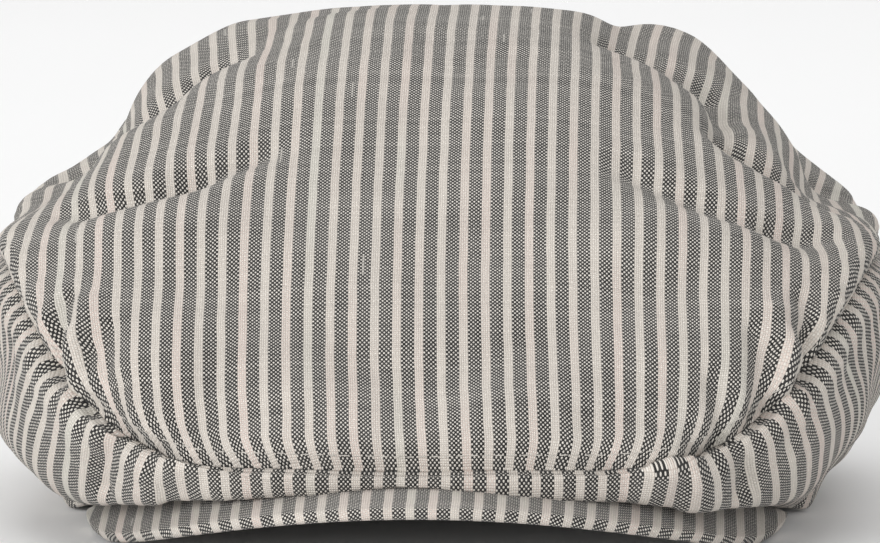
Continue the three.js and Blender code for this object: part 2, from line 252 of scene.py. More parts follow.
class CapSizes(bpy.types.PropertyGroup):
    """Sizes of the cap and of its cloth"""

    front_reach: FloatProperty(
        name="Front Reach", description="Crown's axis to the front seam", default=0.120, unit="LENGTH"
    )
    back_reach: FloatProperty(
        name="Back Reach", description="Crown's axis to the back", default=0.122, unit="LENGTH"
    )
    half_width: FloatProperty(
        name="Half Width", description="Crown's axis to its widest side", default=0.1115, unit="LENGTH"
    )
    crown_height: FloatProperty(
        name="Crown Height", description="Floor to the crown's nominal top", default=0.120, unit="LENGTH"
    )
    cloth: FloatProperty(
        name="Cloth", description="Thickness of the cloth with its backing", default=0.0018, unit="LENGTH"
    )
    fold_rise: FloatProperty(
        name="Fold Rise", description="Height of a full soft fold", default=0.004, unit="LENGTH"
    )
    fold_width: FloatProperty(
        name="Fold Width", description="Reach of a full soft fold", default=0.010, unit="LENGTH"
    )
    crease_rise: FloatProperty(
        name="Crease Rise", description="Height of a small crease", default=0.0023, unit="LENGTH"
    )
    crease_width: FloatProperty(
        name="Crease Width", description="Reach of a small crease", default=0.0034, unit="LENGTH"
    )
    peak_thickness: FloatProperty(
        name="Peak Thickness", description="Board with cloth on both faces", default=0.003, unit="LENGTH"
    )
    stripe: FloatProperty(
        name="Stripe", description="One cream and one dark stripe together", default=0.0052, unit="LENGTH"
    )
    weft_pitch: FloatProperty(
        name="Weft Pitch", description="Distance between weft threads", default=0.00056, unit="LENGTH"
    )
    stitch: FloatProperty(
        name="Stitch", description="Length of one topstitch with its gap", default=0.0030, unit="LENGTH"
    )


class CapColours(bpy.types.PropertyGroup):
    """Colours of the yarns and of the stage"""

    cream: FloatVectorProperty(
        name="Cream",
        description="Cream warp yarn",
        subtype="COLOR",
        default=(0.63, 0.575, 0.515),
        min=0,
        max=1,
    )
    weft: FloatVectorProperty(
        name="Weft",
        description="Pale weft yarn",
        subtype="COLOR",
        default=(0.65, 0.615, 0.56),
        min=0,
        max=1,
    )
    charcoal: FloatVectorProperty(
        name="Charcoal",
        description="Dark warp yarn",
        subtype="COLOR",
        default=(0.030, 0.029, 0.028),
        min=0,
        max=1,
    )
    floor: FloatVectorProperty(
        name="Floor",
        description="Floor and backdrop",
        subtype="COLOR",
        default=(0.90, 0.90, 0.90),
        min=0,
        max=1,
    )


def sizes():
    return bpy.context.scene.cap_sizes


def colours():
    return bpy.context.scene.cap_colours


def smooth_step(value):
    """0 below 0, 1 above 1, and 3t^2 - 2t^3 between."""
    t = np.clip(value, 0, 1)
    return t * t * (3 - 2 * t)


def unit(vectors):
    length = np.linalg.norm(vectors, axis=-1, keepdims=True)
    return vectors / np.maximum(length, 1e-12)


def ring_value(column, ring):
    """Catmull-Rom curve through one column of the ring table."""
    values = RING_TABLE[column]
    last = len(values) - 1
    i = np.clip(np.floor(ring).astype(int), 0, last - 1)
    f = ring - i
    here, after = values[i], values[i + 1]
    before = np.where(i > 0, values[np.maximum(i - 1, 0)], 2 * here - after)
    beyond = np.where(i < last - 1, values[np.minimum(i + 2, last)], 2 * after - here)
    rise = (after - here) * f * f * (3 - 2 * f)
    return here + rise + (after - before) / 2 * f * (1 - f) ** 2 - (beyond - here) / 2 * f * f * (1 - f)


def axis_y():
    """Place of the crown's axis: the whole cap is centred on the origin, front to back."""
    front = sizes().front_reach * RING_TABLE["front"][0] + PEAK_LENGTH
    return (front - sizes().back_reach * WIDEST_BACK) / 2


def crown_reach(angle, ring):
    """Distance from the axis: a superellipse through the ring's front or back and its side."""
    s, c = np.sin(np.radians(angle)), np.cos(np.radians(angle))
    side = sizes().half_width * ring_value("side", ring)
    front = sizes().front_reach * ring_value("front", ring)
    back = sizes().back_reach * ring_value("back", ring)
    end = np.where(c > 0, front, back)
    n = ring_value("square", ring)
    with np.errstate(all="ignore"):
        reach = ((np.abs(s) / side) ** n + (np.abs(c) / end) ** n) ** (-1 / n)
    return np.where(side < 1e-9, 0, reach)


def crown_rise(angle, ring):
    """Height: the ring's side height, blended to its front and back heights by smooth steps."""
    c = np.cos(np.radians(angle))
    away = np.abs(angle)
    start = ring_value("start", ring)
    front = 1 - smooth_step((away - start) / (ring_value("stop", ring) - start))
    back = smooth_step((away - BACK_BLEND_ANGLE) / BACK_BLEND_TURN)
    dome = ring_value("dome", ring)
    front = front + (np.maximum(0, c) - front) * dome
    back = back + (np.maximum(0, -c) - back) * dome
    mid = ring_value("mid", ring)
    share = mid + (ring_value("low", ring) - mid) * front + (ring_value("high", ring) - mid) * back
    return sizes().crown_height * share


def crown(angle, ring):
    """Smooth crown: reach out from the upright axis in the direction of the angle, at the height."""
    angle, ring = np.broadcast_arrays(np.asarray(angle, float), np.asarray(ring, float))
    reach = crown_reach(angle, ring)
    x = reach * np.sin(np.radians(angle))
    y = axis_y() - reach * np.cos(np.radians(angle))
    return np.stack([x, y, crown_rise(angle, ring)], -1)


def crown_normal(angle, ring):
    """Outward direction: the cross product of wide differences round and up the crown."""
    turn, climb = 2, 0.45
    around = crown(angle + turn, ring) - crown(angle - turn, ring)
    upward = crown(angle, np.minimum(APEX_RING, ring + climb)) - crown(angle, np.maximum(0, ring - climb))
    normal = unit(np.cross(around, upward))
    return np.where((ring >= APEX_RING - 1e-6)[..., None], np.array([0, 0, 1.0]), normal)


def fold_lift(points, table, rise, width):
    """Sum over the table's lines of rise * exp(-(distance / width)^2)."""
    lift = np.zeros(points.shape[:-1])
    t = np.linspace(0, 1, FOLD_STEPS + 1)
    for angle0, ring0, angle1, ring1, rise_share, width_share in table.values():
        line = crown(angle0 + (angle1 - angle0) * t, ring0 + (ring1 - ring0) * t)
        nearest = np.full(lift.shape, np.inf)
        for a, b in zip(line[:-1], line[1:]):
            along = b - a
            share = np.clip((points - a) @ along / (along @ along), 0, 1)
            nearest = np.minimum(nearest, np.linalg.norm(points - a - share[..., None] * along, axis=-1))
        lift += rise * rise_share * np.exp(-((nearest / (width * width_share)) ** 2))
    return lift


def slack(points):
    """Unevenness of soft cloth: a sum of sine waves in seeded directions, each weaker when shorter."""
    draw = np.random.default_rng(SEED)
    lift = np.zeros(points.shape[:-1])
    for wavelength in SLACK_WAVES:
        for _ in range(3):
            direction = draw.normal(size=3)
            phase = draw.uniform(0, 2 * np.pi)
            wave = points @ (direction / np.linalg.norm(direction)) * 2 * np.pi / wavelength + phase
            lift += wavelength * SLACK_SHARE * np.sin(wave)
    return lift


def seam_line(columns=SEAM_COLUMNS):
    """Angles round the seam, its points, and its signed length from the front centre."""
    angle = np.linspace(-180, 180, columns)
    points = crown(angle, np.full(columns, float(SEAM_RING)))
    steps = np.linalg.norm(np.diff(points, axis=0), axis=1)
    length = np.concatenate([[0], np.cumsum(steps)])
    return angle, points, length - length[columns // 2]


def seam_place(angle, ring, points):
    """Distance of each point from the seam at its angle, and that angle's length along the seam."""
    away = np.linalg.norm(points - crown(angle, np.full_like(ring, SEAM_RING)), axis=-1)
    line_angle, _, line_length = seam_line()
    return away, np.interp(angle, line_angle, line_length)


def seam_shape(angle, ring, points):
    """Pull of the seam: a groove at the seam, a puff beside it and puckers that fade away from it.

    Puckers are sine waves of the length along the seam, larger at the front corners.
    """
    away, length = seam_place(angle, ring, points)
    draw = np.random.default_rng(SEED + 1)
    side = np.where(ring > SEAM_RING, 0.0, 1.7)
    wave = np.zeros_like(length)
    for wavelength in PUCKER_WAVES:
        wave += np.sin(2 * np.pi * length / wavelength + draw.uniform(0, 6) + side) * draw.uniform(0.6, 1.0)
    corner = np.exp(-(((np.abs(angle) - 42) / 20) ** 2))
    pucker = PUCKER_RISE * (0.45 + 1.9 * corner) * wave
    fade = np.exp(-away / PUCKER_FADE) * (1 - np.exp(-away / PUCKER_START))
    groove = -GROOVE_DEPTH * np.exp(-((away / GROOVE_WIDTH) ** 2))
    sunk = -STITCH_SINK * np.exp(-(((away - STITCH_PLACE) / STITCH_WIDTH) ** 2))
    puff = PUFF_RISE * np.exp(-(((away - PUFF_PLACE) / PUFF_WIDTH) ** 2))
    return groove + puff + np.where(ring > SEAM_RING, sunk, 0) + pucker * fade


def back_seam_shape(angle, ring, points):
    """Groove of the side band's joining seam down the centre of the back."""
    away = np.abs(points[..., 0])
    at_back = (np.abs(angle) > 150) & (ring < SEAM_RING)
    return np.where(at_back, -BACK_SEAM_DEPTH * np.exp(-((away / BACK_SEAM_WIDTH) ** 2)), 0)


def cloth_surface(angle, ring, depth=0.0):
    """Folded crown: the smooth crown moved along its normal by all folds, less the depth."""
    size = sizes()
    points = crown(angle, ring)
    lift = fold_lift(points, FOLDS, size.fold_rise, size.fold_width)
    fine = fold_lift(points, CREASES, size.crease_rise, size.crease_width) + slack(points)
    fine = fine + seam_shape(angle, ring, points) + back_seam_shape(angle, ring, points)
    fine = fine * smooth_step((ring + 0.02) / 0.8)
    moved = points + crown_normal(angle, ring) * (lift + fine - depth)[..., None]
    resting = (ring <= 1e-9) & (np.abs(angle) >= RING_TABLE["stop"][0])
    moved[..., 2] = np.where(resting, points[..., 2], np.maximum(moved[..., 2], 0))
    return moved


def ring_beside_seam(angle, distance):
    """Ring number at a distance above the seam, or below it where the distance is negative."""
    step = 0.05 * np.sign(distance)
    seam = np.full_like(angle, SEAM_RING)
    length = np.linalg.norm(crown(angle, seam) - crown(angle, seam + step), axis=-1)
    return SEAM_RING + step * np.abs(distance) / length


def panel_rings(angle, rows):
    """Rows of ring numbers from just above the seam to the apex."""
    start = ring_beside_seam(angle, SEAM_GAP / 2)
    share = np.linspace(0, 1, rows + 1)[:, None] ** 1.12
    return start + (APEX_RING - start) * share


def band_rings(angle, rows):
    """Rows of ring numbers from just below the seam down to the hem."""
    start = ring_beside_seam(angle, -SEAM_GAP / 2)
    share = np.linspace(0, 1, rows + 1)[:, None]
    return start * (1 - share)


def ring_at_place(x, y):
    """Ring number of each place inside the seam, by halving the range until the reach fits."""
    angle = np.degrees(np.arctan2(x, axis_y() - y))
    away = np.hypot(x, axis_y() - y)
    low = np.full_like(x, float(SEAM_RING))
    high = np.full_like(x, float(APEX_RING))
    for _ in range(26):
        middle = (low + high) / 2
        outside = crown_reach(angle, middle) < away
        high = np.where(outside, middle, high)
        low = np.where(outside, low, middle)
    return angle, (low + high) / 2


def panel_grain(angle, ring):
    """Cloth coordinates of the top panel.

    Across is the length along the section of constant y from the centre line, along is the length
    along the section of constant x, both summed on a square lattice and read between its places.
    """
    half = sizes().half_width * 1.04
    xs = np.arange(-half, half + LATTICE_STEP, LATTICE_STEP)
    xs = xs - xs[np.argmin(np.abs(xs))]
    ys = np.arange(-0.135, 0.14, LATTICE_STEP)
    x, y = np.meshgrid(xs, ys)
    lattice_angle, lattice_ring = ring_at_place(x, y)
    z = crown_rise(lattice_angle, lattice_ring)
    slope_y, slope_x = np.gradient(z, LATTICE_STEP)
    across = np.cumsum(np.sqrt(1 + np.clip(slope_x, -3, 3) ** 2), axis=1) * LATTICE_STEP
    along = np.cumsum(np.sqrt(1 + np.clip(slope_y, -3, 3) ** 2), axis=0) * LATTICE_STEP
    centre = np.argmin(np.abs(xs))
    across = across - across[:, centre : centre + 1]
    points = crown(angle, ring)
    grain = np.stack([read_lattice(values, points, xs, ys) for values in (across, along)], -1)
    grain = extend_grain(grain, points, angle, ring)
    from_seam = grain[..., 1] - grain[0, angle.shape[1] // 2, 1]
    drift = GRAIN_DRIFT * (1 - np.exp(-np.maximum(from_seam, 0) / DRIFT_LENGTH))
    grain[..., 0] += drift + pucker_shift(angle, ring, points)
    return grain


def pucker_shift(angle, ring, points):
    """Sideways shift of the stripes: slanted sine waves along the seam, strongest at the front corners."""
    away, length = seam_place(angle, ring, points)
    length = np.abs(length) - SHIFT_SLANT * away
    draw = np.random.default_rng(SEED + 2)
    wave = np.zeros_like(length)
    for wavelength in SHIFT_WAVES:
        wave += wavelength * np.sin(2 * np.pi * length / wavelength + draw.uniform(0, 6) + np.sign(angle))
    corner = np.exp(-(((np.abs(angle) - 41) / 18) ** 2))
    return PUCKER_SHIFT * wave * (0.12 + corner) * np.exp(-away / PUCKER_REACH)


def extend_grain(grain, points, angle, ring):
    """Cloth coordinates of the steep edge of the top panel, carried on from its flatter part.

    Going down, each row adds its step's parts along two directions in the surface: a share of the
    one that lies in the section of constant y, and the whole of the one square to it.
    """
    normal = crown_normal(angle, ring)
    aside = unit(np.stack([normal[..., 2], np.zeros_like(ring), -normal[..., 0]], -1))
    onward = np.cross(normal, aside)
    flat = ring > EDGE_RING
    first = np.argmax(flat, axis=0)
    last_row = int(first.max())
    for row in range(last_row - 1, -1, -1):
        step = points[row] - points[row + 1]
        move = np.stack([np.sum(step * way[row], -1) for way in (aside * EDGE_SHARE, onward)], -1)
        steep = (row < first)[:, None]
        grain[row] = np.where(steep, grain[row + 1] + move, grain[row])
    return grain


def read_lattice(values, points, xs, ys):
    """Value at each point, weighted between the four lattice places around it."""
    fx = np.clip((points[..., 0] - xs[0]) / LATTICE_STEP, 0, len(xs) - 1.001)
    fy = np.clip((points[..., 1] - ys[0]) / LATTICE_STEP, 0, len(ys) - 1.001)
    i, j = fy.astype(int), fx.astype(int)
    u, v = fx - j, fy - i
    near = values[i, j] * (1 - u) + values[i, j + 1] * u
    far = values[i + 1, j] * (1 - u) + values[i + 1, j + 1] * u
    return near * (1 - v) + far * v


def band_grain(angle, ring):
    """Cloth coordinates of the side band, a strip whose upper edge is sewn to the seam.

    Each column starts at its length along the seam. Going down it gains the part of each step that
    lies along the seam's direction; the rest of the step is its depth. Both are then turned by a
    lean that grows towards the back.
    """
    line_angle, line_points, line_length = seam_line()
    tangent = unit(np.gradient(line_points, axis=0))
    tangent = np.stack([np.interp(angle[0], line_angle, tangent[:, k]) for k in range(3)], -1)
    points = crown(angle, ring)
    normal = crown_normal(angle, ring)
    flat = unit(tangent - normal * np.sum(tangent * normal, -1, keepdims=True))
    step = np.diff(points, axis=0)
    sideways = np.sum(step * flat[1:], -1)
    downward = np.sqrt(np.maximum(np.sum(step**2, -1) - sideways**2, 0))
    start = np.interp(angle[0], line_angle, line_length)
    zero = np.zeros((1, angle.shape[1]))
    length = start + np.concatenate([zero, np.cumsum(sideways, 0)])
    depth = np.concatenate([zero, np.cumsum(downward, 0)])
    reach = np.linspace(0, 0.45, 901)
    lean = np.radians(LEAN_ANGLE) * smooth_step((reach - LEAN_START) / (LEAN_STOP - LEAN_START))
    spacing = reach[1] - reach[0]
    run = np.concatenate([[0], np.cumsum(np.cos(lean))[:-1]]) * spacing
    drop = np.concatenate([[0], np.cumsum(np.sin(lean))[:-1]]) * spacing
    away = np.abs(length)
    turn = np.interp(away, reach, lean)
    corner = smooth_step((away - SWAY_START) / SWAY_RISE)
    corner = corner * (1 - smooth_step((away - SWAY_STOP) / SWAY_FALL))
    sway = SWAY * corner * (1 - np.exp(-depth / SWAY_DEPTH))
    across = np.interp(away, reach, run) - depth * np.sin(turn) + sway
    along = np.interp(away, reach, drop) + depth * np.cos(turn)
    return np.stack([np.where(length < 0, -across, across), -along], -1)


def grid_faces(rows, columns, round_grid, offset=0, flip=False):
    """Corner numbers of a grid's quads, with the vertex and the cloth coordinate of each corner.

    The cloth coordinates have one column more than a round grid has vertices.
    """
    wide = columns if round_grid else columns + 1
    i, j = np.meshgrid(np.arange(rows), np.arange(columns), indexing="ij")
    corners = [(i, j), (i, j + 1), (i + 1, j + 1), (i + 1, j)]
    if flip:
        corners = corners[::-1]
    vertex = np.stack([offset + a * wide + b % wide for a, b in corners], -1).reshape(-1, 4)
    grain = np.stack([a * (columns + 1) + b for a, b in corners], -1).reshape(-1, 4)
    return vertex, grain


def make_mesh(name, vertices, faces, grain):
    """Mesh object from arrays: the corners' cloth coordinates go into the UV map named cloth."""
    mesh = bpy.data.meshes.new(name)
    mesh.from_pydata(vertices.reshape(-1, 3).tolist(), [], faces.tolist())
    layer = mesh.uv_layers.new(name="cloth")
    layer.data.foreach_set("uv", grain.reshape(-1).astype(np.float32))
    mesh.polygons.foreach_set("use_smooth", np.ones(len(faces), dtype=bool))
    mesh.update()
    made = bpy.data.objects.new(name, mesh)
    bpy.context.scene.collection.objects.link(made)
    return made


def close_mesh(made, distance):
    """Merges the doubled vertices of closed borders and poles and drops faces without area."""
    shape = bmesh.new()
    shape.from_mesh(made.data)
    bmesh.ops.remove_doubles(shape, verts=shape.verts, dist=distance)
    bmesh.ops.dissolve_degenerate(shape, dist=distance * 0.1, edges=shape.edges)
    bmesh.ops.recalc_face_normals(shape, faces=shape.faces)
    for face in shape.faces:
        face.smooth = True
    shape.to_mesh(made.data)
    shape.free()
    return made


def rim_rows(outer, inner, beyond):
    """Half-round edge between two border rows: an arc that bulges away from the wall.

    Points are middle + half * cos(t) + beyond * sin(t), with t from 0 to half a turn.
    """
    middle = (outer + inner) / 2
    half = (outer - inner) / 2
    turn = np.linspace(0, np.pi, EDGE_ROWS + 2)[1:-1]
    return np.stack([middle + half * np.cos(t) + beyond * np.sin(t) for t in turn])


def round_wall(name, rings, grain_of, rows, inner_rows, round_start, round_end):
    """Closed wall of cloth round the crown: outer face, edges and inner face.

    rings gives the rows of ring numbers, grain_of the cloth coordinates of a grid. round_start and
    round_end say how far each border bulges, as a share of half the cloth.
    """
    cloth = sizes().cloth
    angle = np.linspace(-180, 180, AROUND + 1)
    layers = []
    for count, depth in ((rows, 0.0), (inner_rows, cloth)):
        ring = rings(angle, count)
        wide = np.broadcast_to(angle, ring.shape)
        layers.append((cloth_surface(wide, ring, depth), grain_of(wide, ring)))
    (outer, outer_grain), (inner, inner_grain) = layers
    start_way = unit(outer[0] - outer[1]) * cloth / 2 * round_start
    start = rim_rows(inner[0], outer[0], start_way)
    parts = [start, outer]
    grains = [np.repeat(outer_grain[:1], EDGE_ROWS, 0), outer_grain]
    if round_end is not None:
        end_way = unit(outer[-1] - outer[-2]) * cloth / 2 * round_end
        parts.append(rim_rows(outer[-1], inner[-1], end_way))
        grains.append(np.repeat(outer_grain[-1:], EDGE_ROWS, 0))
    parts.append(inner[::-1])
    grains.append(inner_grain[::-1])
    loop = np.concatenate([*parts, start[:1]])
    loop_grain = np.concatenate([*grains, outer_grain[:1]])
    loop[..., 2] = np.maximum(loop[..., 2], 0)
    vertex, corner = grid_faces(len(loop) - 1, AROUND, True)
    made = make_mesh(name, loop[:, :-1], vertex, loop_grain.reshape(-1, 2)[corner])
    return close_mesh(made, MERGE)


def peak_face(across, along):
    """Upper face of the peak: a straight line from the hem's front to the peak's edge.

    The edge is an ellipse seen from above, lifted at the front by a power of a cosine.
    """
    root = crown(across * PEAK_END_ANGLE, np.zeros_like(across))
    root[..., 2] -= PEAK_GAP
    turn = across * 90
    side_line = axis_y() - sizes().front_reach * RING_TABLE["front"][0] - PEAK_LENGTH + PEAK_SIDE_DEPTH
    away = np.minimum(1, np.abs(turn) / PEAK_LOW_ANGLE)
    arch = np.maximum(0, np.cos(away * np.pi / 2)) ** PEAK_ARCH_POWER
    edge = np.stack(
        [
            PEAK_HALF_WIDTH * np.sin(np.radians(turn)),
            side_line - PEAK_SIDE_DEPTH * np.cos(np.radians(turn)),
            sizes().peak_thickness + PEAK_FRONT_LIFT * arch,
        ],
        -1,
    )
    return root + (edge - root) * along[..., None]


def peak_normal(across, along):
    """Upward direction: the cross product of the way out and the way across."""
    step = 0.02
    left = peak_face(np.maximum(-1, across - step), along)
    right = peak_face(np.minimum(1, across + step), along)
    outward = peak_face(across, np.ones_like(along)) - peak_face(across, np.zeros_like(along))
    return unit(np.cross(outward, right - left))


def rounded_share(distance, radius):
    """Half thickness near a rounded border: the height of a quarter circle at that distance."""
    t = np.clip(distance / radius, 0, 1)
    return np.sqrt(np.maximum(0, 1 - (1 - t) ** 2))


def peak_grid():
    """Upper and lower face of the peak on a grid, with the cloth coordinates of each.

    A face is the middle surface moved by the half thickness, which is rounded off at the border. The
    cloth runs out over the upper face, round the edge and back under the lower one.
    """
    radius = sizes().peak_thickness / 2
    end = (1 - np.cos(np.linspace(0, np.pi / 2, 8))) * radius * 1.5 / (2 * PEAK_HALF_WIDTH)
    flat = np.linspace(-1 + end[-1], 1 - end[-1], PEAK_COLUMNS)
    across = np.concatenate([-1 + end[:-1], flat, 1 - end[-2::-1]])
    tip = (1 - np.cos(np.linspace(0, np.pi / 2, 8))) * radius / PEAK_LENGTH
    along = np.concatenate([tip[:-1], np.linspace(tip[-1], 1 - tip[-1], PEAK_ROWS), 1 - tip[-2::-1]])
    s, w = np.meshgrid(across, along)
    normal = peak_normal(s, w)
    top = peak_face(s, w)
    middle = top - normal * radius
    from_end = (1 - np.abs(s)) * 2 * PEAK_HALF_WIDTH * 0.75
    from_tip = np.minimum(w, 1 - w) * PEAK_LENGTH
    half = radius * rounded_share(from_end, radius) * rounded_share(from_tip, radius)
    step = np.diff(top, axis=1)
    run = np.concatenate([np.zeros((len(along), 1)), np.cumsum(np.hypot(step[..., 0], step[..., 2]), 1)], 1)
    centre = (run[:, (len(across) - 1) // 2] + run[:, len(across) // 2]) / 2
    upper = middle + normal * half[..., None]
    lower = middle - normal * half[..., None]
    way_out = row_lengths(upper) - (top[0, :, 1] - top[0, :, 1].min())
    way_back = row_lengths(lower)
    around = [way_out, way_out[-1] + way_back[-1] - way_back]
    grain = [np.stack([run - centre[:, None], along], -1) for along in around]
    return upper, lower, grain


def row_lengths(points):
    """Length down each column of a grid, from its first row."""
    steps = np.linalg.norm(np.diff(points, axis=0), axis=-1)
    return np.concatenate([np.zeros((1, points.shape[1])), np.cumsum(steps, 0)])


class Signal:
    """A number socket of a material. Operators on it add Math nodes to the same material."""

    def __init__(self, maker, socket):
        self.maker = maker
        self.socket = socket

    def __add__(self, other):
        return self.maker.math("ADD", self, other)

    def __radd__(self, other):
        return self.maker.math("ADD", other, self)

    def __sub__(self, other):
        return self.maker.math("SUBTRACT", self, other)

    def __rsub__(self, other):
        return self.maker.math("SUBTRACT", other, self)

    def __mul__(self, other):
        return self.maker.math("MULTIPLY", self, other)

    def __rmul__(self, other):
        return self.maker.math("MULTIPLY", other, self)

    def __truediv__(self, other):
        return self.maker.math("DIVIDE", self, other)

    def __mod__(self, other):
        return self.maker.math("FLOORED_MODULO", self, other)

    def __lt__(self, other):
        return self.maker.math("LESS_THAN", self, other)

    def __abs__(self):
        return self.maker.math("ABSOLUTE", self)

    def floor(self):
        return self.maker.math("FLOOR", self)

    def sine(self):
        return self.maker.math("SINE", self)


class ClothMaker:
    """Builds one material's nodes."""

    def __init__(self, name):
        self.material = bpy.data.materials.new(name)
        self.material.use_nodes = True
        self.tree = self.material.node_tree
        self.tree.nodes.clear()

    def node(self, kind, settings=None, inputs=None):
        """One node of a type: its settings are set first, then its sockets, by value or by link."""
        made = self.tree.nodes.new(kind)
        for key, value in (settings or {}).items():
            setattr(made, key, value)
        for key, value in (inputs or {}).items():
            socket = made.inputs[key]
            if isinstance(value, Signal):
                value = value.socket
            if isinstance(value, bpy.types.NodeSocket):
                self.tree.links.new(value, socket)
            else:
                socket.default_value = value
        return made

    def math(self, operation, *values):
        made = self.node("ShaderNodeMath", {"operation": operation}, dict(enumerate(values)))
        return Signal(self, made.outputs[0])

    def blend(self, share, first, second):
        """Colour between two colours."""
        made = self.node(
            "ShaderNodeMix", {"data_type": "RGBA"}, {"Factor": share, 6: first, 7: second}
        )
        return made.outputs[2]

    def shade(self, colour, share):
        """Colour times a number."""
        if isinstance(colour, tuple):
            colour = colour[:3]
        made = self.node("ShaderNodeVectorMath", {"operation": "SCALE"}, {0: colour, "Scale": share})
        return made.outputs[0]

    def smooth(self, value, low, high):
        """0 below low and 1 above high, smooth between."""
        made = self.node(
            "ShaderNodeMapRange",
            {"interpolation_type": "SMOOTHSTEP"},
            {"Value": value, "From Min": low, "From Max": high},
        )
        return Signal(self, made.outputs[0])

    def place(self, x, y, z=0.0):
        return self.node("ShaderNodeCombineXYZ", None, {0: x, 1: y, 2: z}).outputs[0]

    def noise(self, place, scale=1.0, detail=1.0):
        """Smooth noise around zero."""
        made = self.node(
            "ShaderNodeTexNoise",
            {"noise_dimensions": "3D"},
            {"Vector": place, "Scale": scale, "Detail": detail},
        )
        return Signal(self, made.outputs[0]) - 0.5

    def finish(self, inputs):
        """The material, with a shader that has these inputs."""
        shader = self.node("ShaderNodeBsdfPrincipled", None, inputs)
        self.node("ShaderNodeOutputMaterial", None, {"Surface": shader.outputs[0]})
        return self.material

    def chance(self, place):
        """Random number from 0 to 1 for each whole place."""
        made = self.node("ShaderNodeTexWhiteNoise", {"noise_dimensions": "3D"}, {"Vector": place})
        return Signal(self, made.outputs[0])


def colour4(values):
    return (*values, 1.0)


def striped_material(name, shift):
    """Striped plain weave in the cloth's own coordinates.

    sin(pi * warp) * sin(pi * weft) is above zero where the pale weft lies on top and below zero
    where the warp does. Four warp threads of ten are cream, the others charcoal.
    """
    size, colour = sizes(), colours()
    make = ClothMaker(name)
    uv = make.node("ShaderNodeUVMap", {"uv_map": "cloth"}).outputs[0]
    parts = make.node("ShaderNodeSeparateXYZ", None, {0: uv})
    across, along = Signal(make, parts.outputs[0]), Signal(make, parts.outputs[1])
    warp_pitch = size.stripe / THREADS_PER_STRIPE
    wander = make.noise(make.place(across * 40, along * 34), 1.0, 1.0)
    waver = make.noise(make.place(across * 55, along * 190, 4.0), 1.0, 1.0)
    ripple = make.noise(make.place(across * 70, along * 60, 9.0), 1.0, 2.0)
    warp = (across + shift) / warp_pitch + wander * 0.9 + waver * 0.5
    weft = along / size.weft_pitch + ripple * 2.4
    thread = warp.floor()
    pick = weft.floor()
    crossing = (warp * np.pi).sine() * (weft * np.pi).sine()

    cream_mask = (thread % THREADS_PER_STRIPE) < (CREAM_THREADS - 0.5)
    stripe_number = (thread / THREADS_PER_STRIPE).floor()
    tint = make.chance(make.place(stripe_number, 0.0, 3.0))
    hue = make.noise(make.place(stripe_number * 2.7, along * 14, 6.0), 1.0, 1.0)
    pink = make.blend(make.smooth(tint + hue, 0.35, 0.75), colour4(colour.cream), PINK_TINT)
    cream = make.blend(make.smooth(tint - hue, 0.6, 1.1), pink, STONE_TINT)

    yarn = make.chance(make.place(thread, 0.0, 1.0)) - 0.5
    yarn_length = make.noise(make.place(thread * 3.3, along * 120, 2.0), 1.0, 2.0)
    weft_yarn = make.chance(make.place(0.0, pick, 5.0)) - 0.5
    weft_length = make.noise(make.place(across * 90, pick * 3.1, 7.0), 1.0, 2.0)
    cloudy = make.noise(make.place(across * 26, along * 60, 12.0), 1.0, 2.0)

    bright_warp = 1.0 + yarn * 0.10 + yarn_length * 0.24 + cloudy * 0.12
    dark_warp = 1.0 + yarn * 0.9 + yarn_length * 1.6 + cloudy * 1.3
    dark = make.shade(colour4(colour.charcoal), dark_warp)
    warp_colour = make.blend(cream_mask, dark, make.shade(cream, bright_warp))
    weft_bright = 1.0 + weft_yarn * 0.22 + weft_length * 0.36 + cloudy * 0.2
    weft_colour = make.shade(colour4(colour.weft), weft_bright)
    dot_size = weft_yarn * 0.10 + weft_length * 0.22
    dots = make.smooth(crossing + dot_size, 0.12, 0.46)
    plain = make.blend(dots, warp_colour, weft_colour)

    lie = make.place(thread, (weft / 11).floor(), 17.0)
    slub = make.smooth(make.chance(lie), 0.9985, 0.9988)
    slubbed = make.blend(slub * 0.5, plain, colour4(colour.weft))
    # painted shade: the colour is darkened towards 0.66 where the threads part, in the gaps between them
    thread_gap_shade = make.smooth(abs(crossing), -0.05, 0.34)
    final = make.shade(slubbed, 0.66 + thread_gap_shade * 0.34)

    height = abs(crossing) * 0.8 + yarn_length * 0.5 + weft_length * 0.5
    bump = make.node(
        "ShaderNodeBump", None, {"Strength": 0.75, "Distance": 0.0003, "Height": height}
    )
    inputs = {
        "Base Color": final,
        "Roughness": 0.88,
        "Specular IOR Level": 0.25,
        "Sheen Weight": 0.12,
        "Sheen Roughness": 0.5,
        "Normal": bump.outputs[0],
    }
    return make.finish(inputs)


def thread_material():
    """Pale sewing thread with a fine twist along each stitch, dimmed as painted shade of the stitch line.
    """
    make = ClothMaker("sewing_thread")
    place = make.node("ShaderNodeTexCoord").outputs["Object"]
    fuzz = make.noise(place, 2600.0, 2.0)
    # the thread's own pale colour, dimmed to 0.72 of the weft as painted shade where the stitches pull into
    # the cloth
    colour = make.shade(colour4(colours().weft), 0.72 + fuzz * 0.5)
    return make.finish({"Base Color": colour, "Roughness": 0.8})


